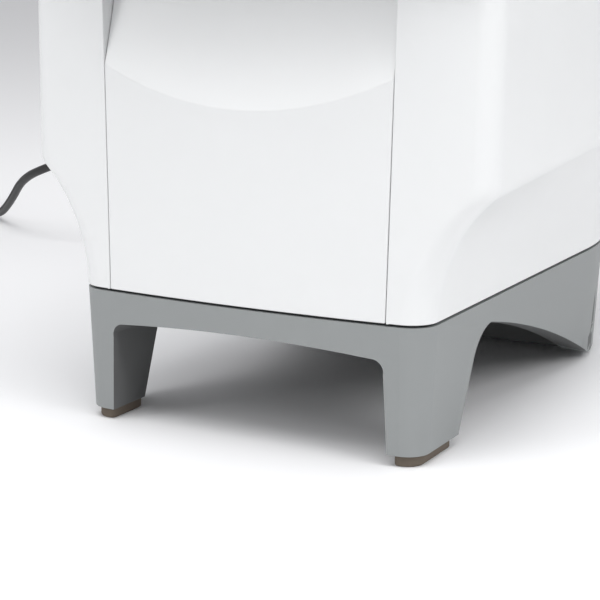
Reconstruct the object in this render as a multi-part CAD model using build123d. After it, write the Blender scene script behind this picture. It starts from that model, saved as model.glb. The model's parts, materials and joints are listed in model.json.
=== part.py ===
"""Bench thermal cycler for 96 sample tubes: pedestal base, moulded housing, heating block,
heated lid with a clamping lever, cooling fan, electronics and mains lead.

Millimetres. X points right seen from the front, Y points to the back, Z points up.
The origin is on the bench, under the middle of the unit.
"""
from build123d import *
from math import cos, hypot, pi, radians, sin, sqrt, tan
import os

os.makedirs("parts", exist_ok=True)

# ---------------------------------------------------------------- driving dimensions
HOOD_REAR = 380.0                    # distances behind the foremost line of the front panel
LEVER_REACH = 35.6                   # how far the lifted lever stands in front of that line
FRONT = (LEVER_REACH - HOOD_REAR) / 2
BASE_WIDTH = 200.0                   # at the rim, where the base meets the housing
BODY_WIDTH = 260.0                   # above the flare
BASE_DEPTH = 345.0
BODY_DEPTH = 352.0
BOW_R = 960.0                        # the front is bowed to this radius
BASE_CORNER = 15.0                   # front vertical corners at the rim
BODY_CORNER = 12.0                   # front vertical corners above the flare

RIM_Z = 72.3                         # lower edge of the housing
RIM_GAP = 1.3                        # shadow gap between housing and base
COVE_R = 81.0                        # concave flare of the sides
CREASE_R = 9.0                       # rounding where the flare turns upright
CREASE_RISE = 24.0                   # the flare ends this much higher at the back
DECK_Z = 240.0
WALL = 3.0                           # moulded wall
SEAM_GAP = 0.35
SEAM_X = 79.0                        # half width of the front panel at the rim
SEAM_SPREAD = 0.0167                 # widening of the front panel per mm of height

BASE_DRAFT = 3.1                     # the base is this much smaller all round at the bench
LEG_Z = 6.0                          # underside of the front legs
REAR_LEG_Z = 3.5                     # underside of the back wall of the base

BLOCK_Y = FRONT + 150.0              # centre of the sample block
BLOCK_TOP = 236.0
WELL_PITCH = 9.0

HINGE_Y = FRONT + 360.0
HINGE_Z = 262.0
SHAFT_R = 4.0
RUN_GAP = 0.06                       # radial clearance of turning and sliding fits

LID_BOTTOM = 244.0
LID_TOP = 370.0
LEVER_Y = FRONT + 2.0
LEVER_Z = 312.0
LEVER_LIFT = 20.0                    # the lever stands open by this angle at rest
HOOK_Y = FRONT + 28.0
HOOK_Z = 277.0
HOOK_TURN = 18.0
HOOK_SHAFT_R = 3.0

INLET_X = -64.0
INLET_Z = 198.0
LEAD_D = 7.0

BASE_TOP = RIM_Z - RIM_GAP
SLAB_Z = 57.3                        # crown of the front arch
TRAY_TOP = BASE_TOP + 1.2
FAN_TOP = TRAY_TOP + 25.0
DUCT_TOP = 133.0
BOARD_Z = 140.0                      # underside of the control board
SINK_Z = 200.0                       # underside of the heat sink's plate
PLATE_Z = 247.0                      # underside of the heated plate
FRAME_Z = 268.0                      # underside of the lid's frame


# ---------------------------------------------------------------- small helpers
def save(node, *solids):
    """Write one node; several separate pieces of the same kind become one group."""
    shape = solids[0] if len(solids) == 1 else Compound(children=list(solids))
    export_step(shape, f"parts/{node}.step")


def solids_of(*shapes):
    """All solids held by the given shapes."""
    return [solid for shape in shapes for solid in shape.solids()]


def block(x0, x1, y0, y1, z0, z1):
    """Rectangular block between two corners."""
    corner_min = (Align.MIN, Align.MIN, Align.MIN)
    return Pos(x0, y0, z0) * Box(x1 - x0, y1 - y0, z1 - z0, align=corner_min)


def rod(radius, length, centre, axis="Z"):
    """Round bar of the given length, centred on a point."""
    turn = {"X": Rotation(0, 90, 0), "Y": Rotation(90, 0, 0), "Z": Rotation(0, 0, 0)}[axis]
    return Pos(*centre) * turn * Cylinder(radius, length)


def tube(outer, inner, length, centre, axis="Z"):
    """Round tube of the given length, centred on a point."""
    return rod(outer, length, centre, axis) - rod(inner, length + 2, centre, axis)


def mirror_x(shape):
    """The same piece on the other side of the unit."""
    return mirror(shape, about=Plane.YZ)


def plate_x(points, x0, x1):
    """Flat plate standing across X, from an outline of (distance behind the front, height)."""
    outline = Polyline(*[(x0, FRONT + y, z) for y, z in points], close=True)
    return extrude(make_face(outline), amount=x1 - x0, dir=(1, 0, 0))


def turn_x(shape, angle, y, z):
    """The shape turned about a line along X through (y, z)."""
    return Pos(0, y, z) * Rotation(angle, 0, 0) * Pos(0, -y, -z) * shape


# ---------------------------------------------------------------- the unit's plan outline
def plan_outline(half_width, depth, corner, rear_x, rear_y, inset=0.0):
    """Bowed front, round front corners, straight sides and elliptic back corners."""
    half = half_width - inset
    front = FRONT + inset
    rear = FRONT + depth - inset
    bow = BOW_R - inset
    radius = corner - inset if corner > inset + 1 else 1.0
    rx = rear_x - inset
    ry = rear_y - inset
    bow_y = front + bow
    corner_y = bow_y - sqrt((bow - radius) ** 2 - (half - radius) ** 2)
    reach = bow / (bow - radius)
    touch = ((half - radius) * reach, bow_y + (corner_y - bow_y) * reach)
    tilt = radians(-45)
    middle = (half - radius + radius * cos(tilt), corner_y + radius * sin(tilt))
    right = [
        ThreePointArc(touch, middle, (half, corner_y)),
        Line((half, corner_y), (half, rear - ry)),
        EllipticalCenterArc((half - rx, rear - ry), rx, ry, start_angle=0, arc_size=90),
    ]
    left = [mirror(edge, about=Plane.YZ) for edge in right]
    bow_edge = ThreePointArc((-touch[0], touch[1]), (0, front), touch)
    rear_edge = Line((half - rx, rear), (rx - half, rear))
    return make_face([piece.edge() for piece in [bow_edge, *right, rear_edge, *reversed(left)]])


def flare(height):
    """How far the side stands out at a height above the rim, and how upright it is again."""
    spread = (BODY_WIDTH - BASE_WIDTH) / 2
    if height <= COVE_TOP:
        return COVE_R - sqrt(COVE_R ** 2 - height ** 2)
    rise = CREASE_TOP - height
    return spread - (CREASE_R - sqrt(CREASE_R ** 2 - rise ** 2))


def crease_heights():
    """Heights above the rim where the cove meets the rounding, and where the wall is upright."""
    spread = (BODY_WIDTH - BASE_WIDTH) / 2
    cosine = 1 - spread / (COVE_R + CREASE_R)
    sine = sqrt(1 - cosine ** 2)
    return COVE_R * sine, (COVE_R + CREASE_R) * sine


COVE_TOP, CREASE_TOP = crease_heights()


def level(height, inset):
    """Outline of the housing at a height above the rim, tilted more the higher it is."""
    share = flare(height) / ((BODY_WIDTH - BASE_WIDTH) / 2)
    climb = height / CREASE_TOP
    outline = plan_outline(
        BASE_WIDTH / 2 + flare(height),
        BASE_DEPTH + (BODY_DEPTH - BASE_DEPTH) * share,
        BASE_CORNER + (BODY_CORNER - BASE_CORNER) * climb,
        60 - 25 * share,
        100 - 65 * share,
        inset,
    )
    slope = CREASE_RISE / BODY_DEPTH * climb
    shear = Matrix([[1, 0, 0, 0], [0, 1, 0, 0], [0, slope, 1, RIM_Z + height - slope * FRONT]])
    return outline.transform_geometry(shear)


def housing_body(inset, top):
    """Solid form of the housing: the flared lower part and the upright part above it."""
    steps = [0, 0.22, 0.42, 0.6, 0.76, 0.9]
    heights = [COVE_TOP * step for step in steps] + [COVE_TOP, (COVE_TOP + CREASE_TOP) / 2, CREASE_TOP]
    flared = loft([level(height, inset) for height in heights])
    outline = plan_outline(BODY_WIDTH / 2, BODY_DEPTH, BODY_CORNER, 35, 35, inset)
    upright = extrude(Pos(0, 0, RIM_Z + CREASE_TOP - 5) * outline, amount=top - RIM_Z - CREASE_TOP + 5)
    under = extrude(level(CREASE_TOP, -20), amount=-60, dir=(0, 0, 1))
    return flared + (upright - under)


def seam_wedge(offset, depth):
    """Region of the front panel: widening upwards, from in front of the unit to a depth."""
    low = SEAM_X + offset
    high = low + SEAM_SPREAD * (DECK_Z - RIM_Z)
    corners = [(-low, 0, RIM_Z), (low, 0, RIM_Z), (high, 0, DECK_Z), (-high, 0, DECK_Z)]
    face = make_face(Polyline(*corners, close=True))
    return extrude(Pos(0, FRONT - 5, 0) * face, amount=depth + 5, dir=(0, 1, 0))


# ---------------------------------------------------------------- base
PAD_INSET = 2.4
ARCH_R = 780.0
ARCH_SLOPE = (176.0, 36.4)           # on the long curve of the side arches
ARCH_HEEL = (264.0, REAR_LEG_Z)      # where that curve meets the back wall
LEG_INNER_X = 80.0                   # the back of a front leg slants between these two
LEG_OUTER_X = 97.0
FAN_HOLE_R = 57.0
BACK_WALL_Y = 270.0                  # inner face of the base's back wall
BASE_SCREW_XY = [(x, y) for x in (-72, 72) for y in (72, 235)] + [(-40, 322), (40, 322)]


def front_arch():
    """Space between the front legs, running back to the back wall."""
    foot = (80.2, -1.0)
    knee = (78.0, 46.5)
    bend = (76.4, 52.0)
    shoulder = (71.9, SLAB_Z - 71.9 ** 2 / (2 * ARCH_R))
    right = [
        Line((foot[0], 0, foot[1]), (knee[0], 0, knee[1])),
        ThreePointArc((knee[0], 0, knee[1]), (bend[0], 0, bend[1]), (shoulder[0], 0, shoulder[1])),
    ]
    left = [mirror(edge, about=Plane.YZ) for edge in right]
    crown = ThreePointArc((shoulder[0], 0, shoulder[1]), (0, 0, SLAB_Z), (-shoulder[0], 0, shoulder[1]))
    floor = Line((-foot[0], 0, foot[1]), (foot[0], 0, foot[1]))
    face = make_face([edge.edge() for edge in [*right, crown, *left, floor]])
    return extrude(Pos(0, FRONT - 5, 0) * face, amount=BACK_WALL_Y + 5, dir=(0, 1, 0))


def side_profile(x, leg_foot, leg_top, bend, apex):
    """Outline at x of the space behind a front leg, falling in a long curve to the back wall."""
    places = [leg_foot, leg_top, bend, apex, ARCH_SLOPE, ARCH_HEEL, (ARCH_HEEL[0], -1.0)]
    at = [(x, FRONT + y, z) for y, z in places]
    edges = [
        Line(at[0], at[1]),
        ThreePointArc(at[1], at[2], at[3]),
        ThreePointArc(at[3], at[4], at[5]),
        Line(at[5], at[6]),
        Line(at[6], at[0]),
    ]
    return make_face([edge.edge() for edge in edges])


def side_arch():
    """Space behind the front legs; the back of each leg slants forward towards the inside."""
    inner = side_profile(LEG_INNER_X, (34.5, -1.0), (46.5, 41.0), (52.6, 51.4), (66.0, 58.0))
    outer = side_profile(LEG_OUTER_X, (53.2, -1.0), (68.8, 41.0), (75.6, 51.8), (91.0, 58.2))
    right = loft([inner, outer], ruled=True)
    right += extrude(outer, amount=120 - LEG_OUTER_X, dir=(1, 0, 0))
    middle = extrude(inner, amount=2 * LEG_INNER_X, dir=(-1, 0, 0))
    return right + mirror_x(right) + middle


def make_base():
    """Moulded pedestal: slab, two front legs and a full back wall."""
    upper = Pos(0, 0, BASE_TOP) * plan_outline(BASE_WIDTH / 2, BASE_DEPTH, BASE_CORNER, 60, 100)
    lower = plan_outline(BASE_WIDTH / 2, BASE_DEPTH, BASE_CORNER, 60, 100, BASE_DRAFT)
    body = loft([lower, upper], ruled=True)
    body -= block(-120, 120, FRONT - 5, FRONT + 100, -1, LEG_Z)
    body -= block(-120, 120, FRONT + 100, FRONT + 400, -1, REAR_LEG_Z)
    body -= front_arch()
    body -= side_arch()
    body -= rod(FAN_HOLE_R, 60, (0, BLOCK_Y, BASE_TOP))
    for x, y in BASE_SCREW_XY:
        body -= rod(2.2, 40, (x, FRONT + y, BASE_TOP))
        body -= rod(5.0, 60, (x, FRONT + y, SLAB_Z + 2.7 - 30))
    save("base_frame", body)


def make_feet():
    """Rubber pads under the front legs and the back wall."""
    outline = plan_outline(BASE_WIDTH / 2, BASE_DEPTH, BASE_CORNER, 60, 100, BASE_DRAFT + PAD_INSET)
    pad_form = extrude(outline, amount=LEG_Z)
    corners = [(82, 0), (82, 36), (94.6, 51.6), (110, 51.6), (110, 0)]
    reach = make_face(Polyline(*[(x, FRONT + y, 0) for x, y in corners], close=True))
    right = pad_form & extrude(reach, amount=LEG_Z)
    right = fillet(right.edges().filter_by(Axis.Z).group_by(Axis.X)[0], 3)
    save("front_feet", *solids_of(right, mirror_x(right)))
    pad = block(50, 76, FRONT + 286, FRONT + 326, 0, REAR_LEG_Z)
    pad = fillet(pad.edges().filter_by(Axis.Z), 6)
    save("rear_feet", *solids_of(pad, mirror_x(pad)))


def make_chassis():
    """Steel tray whose dark edge shows in the shadow gap, and what stands on it."""
    tray = extrude(plan_outline(BASE_WIDTH / 2, BASE_DEPTH, BASE_CORNER, 60, 100, 2.2), amount=1.2)
    tray = Pos(0, 0, BASE_TOP) * tray
    tray -= rod(FAN_HOLE_R, 10, (0, BLOCK_Y, BASE_TOP))
    screws = []
    for x, y in BASE_SCREW_XY:
        tray -= rod(2.2, 10, (x, FRONT + y, BASE_TOP))
        shank = rod(2.0, TRAY_TOP + 4 - SLAB_Z - 2.7, (x, FRONT + y, (TRAY_TOP + 4 + SLAB_Z + 2.7) / 2))
        head = rod(3.8, 2.4, (x, FRONT + y, SLAB_Z + 1.5))
        nut = rod(3.6, 3.0, (x, FRONT + y, TRAY_TOP + 1.5)) - rod(2.0, 8, (x, FRONT + y, TRAY_TOP))
        screws += solids_of(shank + head + nut)
    save("chassis_tray", tray)
    save("base_screws", *screws)
    low, high = BLOCK_Y - 62, BLOCK_Y + 62
    bracket = block(72, 74, low, high, TRAY_TOP, SINK_Z) + block(74, 86, low, high, TRAY_TOP, TRAY_TOP + 2)
    bracket += block(60, 72, low, high, SINK_Z - 2, SINK_Z)
    save("chassis_brackets", *solids_of(bracket, mirror_x(bracket)))


# ---------------------------------------------------------------- housing
SCOOP_ARC_R = 365.0                  # the scoop's lower edge on the front panel
SCOOP_LOW_Z = 170.0
SCOOP_BALL_Y = 1039.0                # how far in front the scoop's ball centre lies
PANEL_DEPTH = 27.0
REAR_OPENING = (-92.0, 92.0, 165.0, 232.0)
REAR_SCREW_Z = (171.0, 198.5, 226.0)
SWITCH_X = -32.0
SWITCH_AXIS_Y = FRONT + BODY_DEPTH - 3.0
ROCKER_REST = -10.0                  # the switch lies off at rest
SOCKET_X = 60.0
SOCKET_Z = (184.0, 212.0)
BLADE_XZ = [(0, 2.0), (-7, -2.0), (7, -2.0)]


def scoop_ball(extra):
    """Ball that hollows the grip scoop out of the front panel."""
    radius = hypot(SCOOP_ARC_R, SCOOP_BALL_Y) + extra
    return Pos(0, FRONT - SCOOP_BALL_Y, SCOOP_LOW_Z + SCOOP_ARC_R) * Sphere(radius)


def make_housing():
    """Front panel between its two seams, the side shells, and the deck over them."""
    outer = housing_body(0, DECK_Z)
    inner = housing_body(WALL, DECK_Z)
    bowed = rod(BOW_R, 400, (0, FRONT + BOW_R, DECK_Z / 2))
    bowed_inside = rod(BOW_R - WALL, 400, (0, FRONT + BOW_R, DECK_Z / 2))
    bowed_inside &= block(-90, 90, FRONT, FRONT + 60, 0, DECK_Z - WALL)
    panel = (bowed & seam_wedge(-SEAM_GAP / 2, PANEL_DEPTH)) - scoop_ball(0)
    panel -= (bowed_inside & seam_wedge(-WALL, PANEL_DEPTH + 10)) - scoop_ball(WALL)
    save("front_panel", panel)

    wall = outer - inner - seam_wedge(SEAM_GAP / 2, PANEL_DEPTH + 20)
    jamb = seam_wedge(SEAM_GAP / 2 + WALL, PANEL_DEPTH) - seam_wedge(SEAM_GAP / 2, PANEL_DEPTH + 1)
    wall += outer & jamb
    x0, x1, z0, z1 = REAR_OPENING
    wall -= block(x0, x1, FRONT + BODY_DEPTH - 20, FRONT + BODY_DEPTH + 10, z0, z1)
    rail = block(84, 96, FRONT + BODY_DEPTH - 10, FRONT + BODY_DEPTH - 2, z0 - 4, z1 + 4)
    for z in REAR_SCREW_Z:
        rail -= rod(1.5, 12, (87.5, FRONT + BODY_DEPTH - 4, z), "Y")
    wall += rail
    wall += mirror_x(rail)
    left = wall & block(-140, -SEAM_GAP / 2, FRONT - 5, FRONT + 400, 60, 250)
    right = wall & block(SEAM_GAP / 2, 140, FRONT - 5, FRONT + 400, 60, 250)
    save("left_shell", left)
    save("right_shell", right)

    deck = extrude(plan_outline(BODY_WIDTH / 2, BODY_DEPTH, BODY_CORNER, 35, 35, WALL + 0.3), amount=WALL)
    deck = Pos(0, 0, DECK_Z - WALL) * deck
    deck -= block(-85.4, 85.4, FRONT - 5, FRONT + PANEL_DEPTH + 0.4, 230, 250)
    deck -= block(-63.2, 63.2, BLOCK_Y - 44.2, BLOCK_Y + 44.2, 230, 250)
    save("top_deck", deck)


def make_rear():
    """Flat back panel with air slots, its rails and screws, and what is mounted in it."""
    x0, x1, z0, z1 = REAR_OPENING
    back = FRONT + BODY_DEPTH
    panel = block(x0 + 0.3, x1 - 0.3, back - 2, back, z0 + 0.3, z1 - 0.3)
    for count in range(10):
        x = -13 + 5.6 * count
        panel -= block(x - 1.5, x + 1.5, back - 5, back + 5, 173, 224)
    panel -= block(INLET_X - 13.8, INLET_X + 13.8, back - 5, back + 5, INLET_Z - 25.3, INLET_Z + 11.3)
    panel -= block(SWITCH_X - 7.2, SWITCH_X + 7.2, back - 5, back + 5, INLET_Z - 10.2, INLET_Z + 10.2)
    screws = []
    for x in (-87.5, 87.5):
        for z in REAR_SCREW_Z:
            panel -= rod(1.6, 20, (x, back, z), "Y")
            screws += solids_of(rod(1.5, 8, (x, back - 4, z), "Y") + rod(3.0, 1.6, (x, back + 0.8, z), "Y"))
    sockets = []
    for z in SOCKET_Z:
        panel -= block(SOCKET_X - 9.2, SOCKET_X + 9.2, back - 5, back + 5, z - 5, z + 5)
        body = block(SOCKET_X - 8.8, SOCKET_X + 8.8, back - 12, back + 1, z - 4.6, z + 4.6)
        flange = block(SOCKET_X - 15.4, SOCKET_X + 15.4, back, back + 1, z - 6.2, z + 6.2)
        shell = block(SOCKET_X - 8.4, SOCKET_X + 8.4, back + 1, back + 6.5, z - 4.2, z + 4.2)
        shell = fillet(shell.edges().filter_by(Axis.Y), 2.2)
        shell -= block(SOCKET_X - 7.6, SOCKET_X + 7.6, back + 2, back + 8, z - 3.4, z + 3.4)
        posts = [rod(1.9, 4, (SOCKET_X + side * 12.5, back + 3, z), "Y") for side in (-1, 1)]
        sockets += solids_of(body + flange + shell + posts[0] + posts[1])
    save("rear_panel", panel)
    save("rear_screws", *screws)
    save("data_sockets", *sockets)


def make_power_inlet():
    """Mains inlet with its contact blades and fuse drawer, and the rocker switch."""
    back = FRONT + BODY_DEPTH
    body = block(INLET_X - 13.5, INLET_X + 13.5, back - 30, back, INLET_Z - 25, INLET_Z + 11)
    flange = block(INLET_X - 15.5, INLET_X + 15.5, back, back + 2.5, INLET_Z - 27, INLET_Z + 13)
    flange = fillet(flange.edges().filter_by(Axis.Y), 2.5)
    inlet = body + flange
    inlet -= block(INLET_X - 12.2, INLET_X + 12.2, back - 14.5, back + 4, INLET_Z - 8.3, INLET_Z + 8.3)
    drawer_z = INLET_Z - 17.5
    inlet -= block(INLET_X - 10, INLET_X + 10, back - 26, back + 4, drawer_z - 4.5, drawer_z + 4.5)
    save("mains_inlet", inlet)
    save("inlet_blades", *[
        block(INLET_X + x - 1, INLET_X + x + 1, back - 14.5, back - 2, INLET_Z + z - 2, INLET_Z + z + 2)
        for x, z in BLADE_XZ
    ])
    drawer = block(INLET_X - 9.7, INLET_X + 9.7, back - 25, back + 3.2, drawer_z - 4.2, drawer_z + 4.2)
    drawer -= block(INLET_X - 8.2, INLET_X + 8.2, back - 23, back - 1, drawer_z - 2.8, drawer_z + 5)
    drawer += block(INLET_X - 4, INLET_X + 4, back + 3.2, back + 4.6, drawer_z + 1.6, drawer_z + 3)
    save("fuse_drawer", drawer)

    frame = block(SWITCH_X - 7, SWITCH_X + 7, back - 16, back, INLET_Z - 10, INLET_Z + 10)
    rim = block(SWITCH_X - 8.5, SWITCH_X + 8.5, back, back + 1.8, INLET_Z - 12, INLET_Z + 12)
    rim = fillet(rim.edges().filter_by(Axis.Y), 1.5)
    frame = frame + rim - rod(9.3, 11.6, (SWITCH_X, SWITCH_AXIS_Y, INLET_Z), "X")
    save("switch_frame", frame)
    drum = rod(9.0, 11.0, (SWITCH_X, SWITCH_AXIS_Y, INLET_Z), "X")
    paddle = plate_x(
        [(BODY_DEPTH - 5, INLET_Z - 10), (BODY_DEPTH + 5.2, INLET_Z - 10), (BODY_DEPTH + 2.8, INLET_Z),
         (BODY_DEPTH + 5.2, INLET_Z + 10), (BODY_DEPTH - 5, INLET_Z + 10)],
        SWITCH_X - 5.5, SWITCH_X + 5.5,
    )
    save("switch_rocker", turn_x(drum & paddle, ROCKER_REST, SWITCH_AXIS_Y, INLET_Z))


# ---------------------------------------------------------------- cooling and electronics
BLOCK_SCREW_XY = [(x, BLOCK_Y + y) for x in (-62.8, 0, 62.8) for y in (-44, 44)]


def make_cooling():
    """Axial fan under the block, its guard, the duct and the finned heat sink."""
    frame = block(-60, 60, BLOCK_Y - 60, BLOCK_Y + 60, TRAY_TOP, FAN_TOP)
    frame -= rod(57.5, 60, (0, BLOCK_Y, FAN_TOP))
    hub = rod(21, 3.5, (0, BLOCK_Y, FAN_TOP - 1.75))
    for angle in (45, 135):
        spoke = Rotation(0, 0, angle) * Box(118, 4, 3)
        hub += Pos(0, BLOCK_Y, FAN_TOP - 1.5) * spoke
    frame += hub - rod(3 + RUN_GAP, 20, (0, BLOCK_Y, FAN_TOP))
    save("fan_frame", frame)

    rotor = rod(20.5, 17.5, (0, BLOCK_Y, TRAY_TOP + 11.5)) + rod(3, 24, (0, BLOCK_Y, FAN_TOP - 12.5))
    blade = Pos(38, 0, 0) * Rotation(38, 0, 0) * Box(40, 23, 1.6)
    for count in range(7):
        rotor += Pos(0, BLOCK_Y, TRAY_TOP + 12) * Rotation(0, 0, 360 / 7 * count) * blade
    rotor &= rod(55.5, 60, (0, BLOCK_Y, TRAY_TOP + 12))
    save("fan_rotor", rotor)

    guard_z = SLAB_Z + 4
    rings = [tube(56.5, 54.5, 2, (0, BLOCK_Y, guard_z))]
    rings += [tube(radius + 1, radius - 1, 2, (0, BLOCK_Y, guard_z)) for radius in (9, 18, 27, 36, 45)]
    bars = [Pos(0, BLOCK_Y, guard_z) * Rotation(0, 0, angle) * Box(112, 3, 2) for angle in (0, 90)]
    guard = rings[0]
    for piece in rings[1:] + bars:
        guard += piece
    save("fan_guard", guard)

    side = block(58.5, 60.5, BLOCK_Y - 60.5, BLOCK_Y + 60.5, FAN_TOP, DUCT_TOP)
    wall = block(-58.5, 58.5, BLOCK_Y - 60.5, BLOCK_Y - 58.5, FAN_TOP, DUCT_TOP)
    save("air_duct", *solids_of(side, mirror_x(side), wall, Pos(0, 119, 0) * wall))

    sink = block(-66, 66, BLOCK_Y - 56, BLOCK_Y + 56, SINK_Z, SINK_Z + 12)
    for count in range(20):
        x = -56 + 112 / 19 * count
        sink += block(x - 1, x + 1, BLOCK_Y - 54, BLOCK_Y + 54, 134, SINK_Z)
    for x, y in BLOCK_SCREW_XY:
        sink -= rod(1.5, 20, (x, y, SINK_Z + 10))
    save("heat_sink", sink)


def make_electronics():
    """Power supply on the tray and the control board above it on posts."""
    supply = block(-66, 34, FRONT + 222, FRONT + 305, TRAY_TOP, 130)
    supply = chamfer(supply.edges().filter_by(Axis.Z), 1.5)
    for count in range(7):
        x = -52 + 12 * count
        supply -= block(x - 2, x + 2, FRONT + 235, FRONT + 292, 128.5, 132)
    save("power_supply", supply)
    board = block(-88, 88, FRONT + 214, FRONT + 330, BOARD_Z, BOARD_Z + 1.6)
    posts = []
    for x, y in [(-80, 219), (80, 219), (-62, 318), (62, 318)]:
        board -= rod(1.6, 10, (x, FRONT + y, BOARD_Z))
        stand = rod(3, BOARD_Z - TRAY_TOP, (x, FRONT + y, (BOARD_Z + TRAY_TOP) / 2))
        posts.append(stand + rod(1.6, 8, (x, FRONT + y, BOARD_Z)))
    save("control_board", board)
    save("board_posts", *solids_of(*posts))
    parts = [rod(8, 24, (x, FRONT + 300, 153.6)) for x in (-66, -46, -26)]
    parts += [block(x, x + 24, FRONT + 238, FRONT + 262, 141.6, 146) for x in (-20, 14)]
    parts += [block(48, 78, FRONT + 232, FRONT + 300, 141.6, 158)]
    parts += [block(x, x + 16, FRONT + 318, FRONT + 328, 141.6, 152) for x in (-6, 16, 38)]
    parts += [rod(5, 12, (x, FRONT + 278, 147.6)) for x in (-30, -14, 2, 18)]
    save("board_parts", *solids_of(*parts))


# ---------------------------------------------------------------- block
def make_block():
    """Thermoelectric elements, the sample block with its wells, clamp frame, seal and screws."""
    pelt_z = SINK_Z + 12
    cells = []
    for column in (-1, 0, 1):
        for row in (-0.5, 0.5):
            x, y = 40 * column, BLOCK_Y + 40 * row
            cells.append(block(x - 19.5, x + 19.5, y - 19.5, y + 19.5, pelt_z, pelt_z + 4))
    save("peltier_elements", *cells)

    plate = block(-60, 60, BLOCK_Y - 41, BLOCK_Y + 41, pelt_z + 4, pelt_z + 9)
    plate += block(-57.5, 57.5, BLOCK_Y - 39, BLOCK_Y + 39, pelt_z + 9, BLOCK_TOP)
    well = Cone(1.4, 2.9, 15, align=(Align.CENTER, Align.CENTER, Align.MAX))
    wells = [Pos(x, y, 0) * well for x in well_places(12) for y in well_places(8)]
    plate -= Pos(0, BLOCK_Y, BLOCK_TOP) * Compound(children=wells)
    save("sample_block", plate)

    frame = block(-65.5, 65.5, BLOCK_Y - 46.5, BLOCK_Y + 46.5, pelt_z + 0.4, pelt_z + 12)
    frame -= block(-60.3, 60.3, BLOCK_Y - 41.3, BLOCK_Y + 41.3, pelt_z, pelt_z + 9.2)
    frame -= block(-58, 58, BLOCK_Y - 39.5, BLOCK_Y + 39.5, pelt_z, pelt_z + 20)
    screws = []
    for x, y in BLOCK_SCREW_XY:
        frame -= rod(1.5, 40, (x, y, pelt_z))
        screws += solids_of(rod(1.5, 20, (x, y, pelt_z + 2)) + rod(2.6, 2, (x, y, pelt_z + 13)))
    save("block_frame", frame)
    save("block_screws", *screws)

    seal = block(-63, 63, BLOCK_Y - 44, BLOCK_Y + 44, pelt_z + 15, DECK_Z - 1)
    seal -= block(-57.8, 57.8, BLOCK_Y - 39.3, BLOCK_Y + 39.3, 200, 260)
    save("block_seal", seal)


def well_places(count):
    """Centres of a row of wells."""
    return [WELL_PITCH * (index - (count - 1) / 2) for index in range(count)]


# ---------------------------------------------------------------- catch and hinge on the body
BAR_Y = FRONT + 34.0
BAR_Z = 250.0
BAR_R = 2.5
EAR_X = (72.5, 79.5)


def make_catch_and_hinge():
    """Catch bar on its posts at the front of the deck, and the hinge brackets at its back."""
    posts = []
    for x in (-70, 0, 70):
        post = block(x - 4, x + 4, BAR_Y - 5, BAR_Y + 5, DECK_Z, BAR_Z + 4.5)
        post = fillet(post.edges().filter_by(Axis.X).group_by(Axis.Z)[-1], 4)
        posts.append(post - rod(BAR_R, 20, (x, BAR_Y, BAR_Z), "X"))
    save("catch_posts", *solids_of(*posts))
    save("catch_bar", rod(BAR_R, 150, (0, BAR_Y, BAR_Z), "X"))

    outline = [(328, 243.5), (351, 243.5), (366, 252), (371, 262), (366, 271), (354, 272), (342, 262)]
    ear = plate_x(outline, *EAR_X) - rod(7, 30, (76, HINGE_Y, HINGE_Z), "X")
    foot = block(64, 88, FRONT + 312, FRONT + 350, DECK_Z, DECK_Z + 3.5)
    foot = fillet(foot.edges().filter_by(Axis.Z), 3)
    bracket = foot + ear
    screws = []
    for x in (67.5, 84.5):
        for y in (318, 343):
            bracket -= rod(1.8, 20, (x, FRONT + y, DECK_Z))
            head = rod(3.0, 1.8, (x, FRONT + y, DECK_Z + 4.4)) + rod(1.8, 3.5, (x, FRONT + y, DECK_Z + 1.75))
            screws += solids_of(head)
    save("hinge_brackets", *solids_of(bracket, mirror_x(bracket)))
    save("hinge_screws", *screws, *[mirror_x(screw) for screw in screws])
    bush = tube(7, SHAFT_R + RUN_GAP, EAR_X[1] - EAR_X[0] + 1, (76, HINGE_Y, HINGE_Z), "X")
    save("hinge_bushes", *solids_of(bush, mirror_x(bush)))
    spring = tube(8, 5, 40, (42, HINGE_Y, HINGE_Z), "X")
    save("hinge_springs", *solids_of(spring, mirror_x(spring)))


# ---------------------------------------------------------------- lid
HOOD_HALF = 127.0
HOOD_WALL = 3.5
HINGE_ARM = [
    (282, 271), (282, 283), (340, 283), (366, 270),
    (369, 262), (364, 254), (352, 254), (344, 271),
]
PLATE_PINS = [(x, BLOCK_Y + y) for x in (-54, 54) for y in (-35, 35)]


def hood_form(inset, bottom):
    """Domed hood seen from the side, drawn across the unit and rounded along its edges."""
    front, rear, top = -6 + inset, HOOD_REAR - inset, LID_TOP - inset

    def at(y, z):
        return (0, FRONT + y, z)

    edges = [
        Line(at(front, bottom), at(front - 3, 314)),
        ThreePointArc(at(front - 3, 314), at(front + 14, top - 18), at(front + 60, top - 4)),
        ThreePointArc(at(front + 60, top - 4), at(190, top), at(rear - 66, top - 5)),
        ThreePointArc(at(rear - 66, top - 5), at(rear - 22, top - 22), at(rear - 2, 308)),
        Line(at(rear - 2, 308), at(rear, bottom + 12)),
        Line(at(rear, bottom + 12), at(344, bottom)),
        Line(at(344, bottom), at(front, bottom)),
    ]
    face = make_face([edge.edge() for edge in edges])
    form = extrude(face, amount=HOOD_HALF - inset, dir=(1, 0, 0), both=True)
    rounded = [
        edge for edge in form.edges()
        if abs(abs(edge.center().X) - HOOD_HALF + inset) < 0.1 and edge.center().Z > bottom + 8
    ]
    return fillet(rounded, 15 - inset)


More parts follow.
